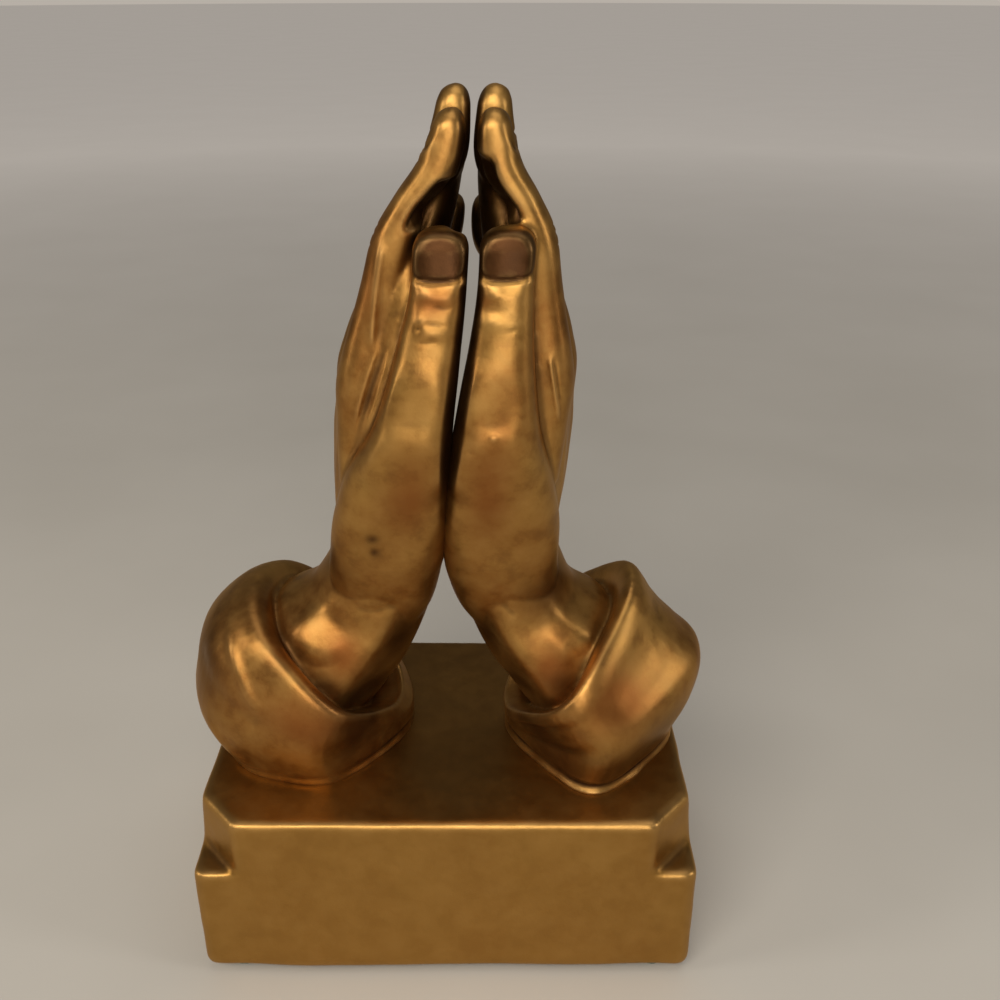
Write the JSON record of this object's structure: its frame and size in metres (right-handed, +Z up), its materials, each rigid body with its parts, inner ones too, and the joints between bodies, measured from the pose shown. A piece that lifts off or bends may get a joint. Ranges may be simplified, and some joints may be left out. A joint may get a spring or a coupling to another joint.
{
  "type": "praying hands statue",
  "caption": "Statue of praying hands rising from draped sleeves on a block plinth with cut corners, bronze-painted casting on felt pads.",
  "frame": {"origin": "on the ground below the middle of the plinth", "axes": "+Z up to the fingertips, +X to the right seen from the thumb side, +Y away from the thumbs towards the little fingers"},
  "size_m": [0.136, 0.084, 0.2189],
  "materials": {
    "bronze_paint": "satin aged bronze paint over a casting",
    "green_felt": "matt felt"
  },
  "bodies": {
    "root": {"statue": "bronze_paint", "felt_pad_front_left": "green_felt", "felt_pad_front_right": "green_felt", "felt_pad_back_left": "green_felt", "felt_pad_back_right": "green_felt"}
  },
  "joints": []
}
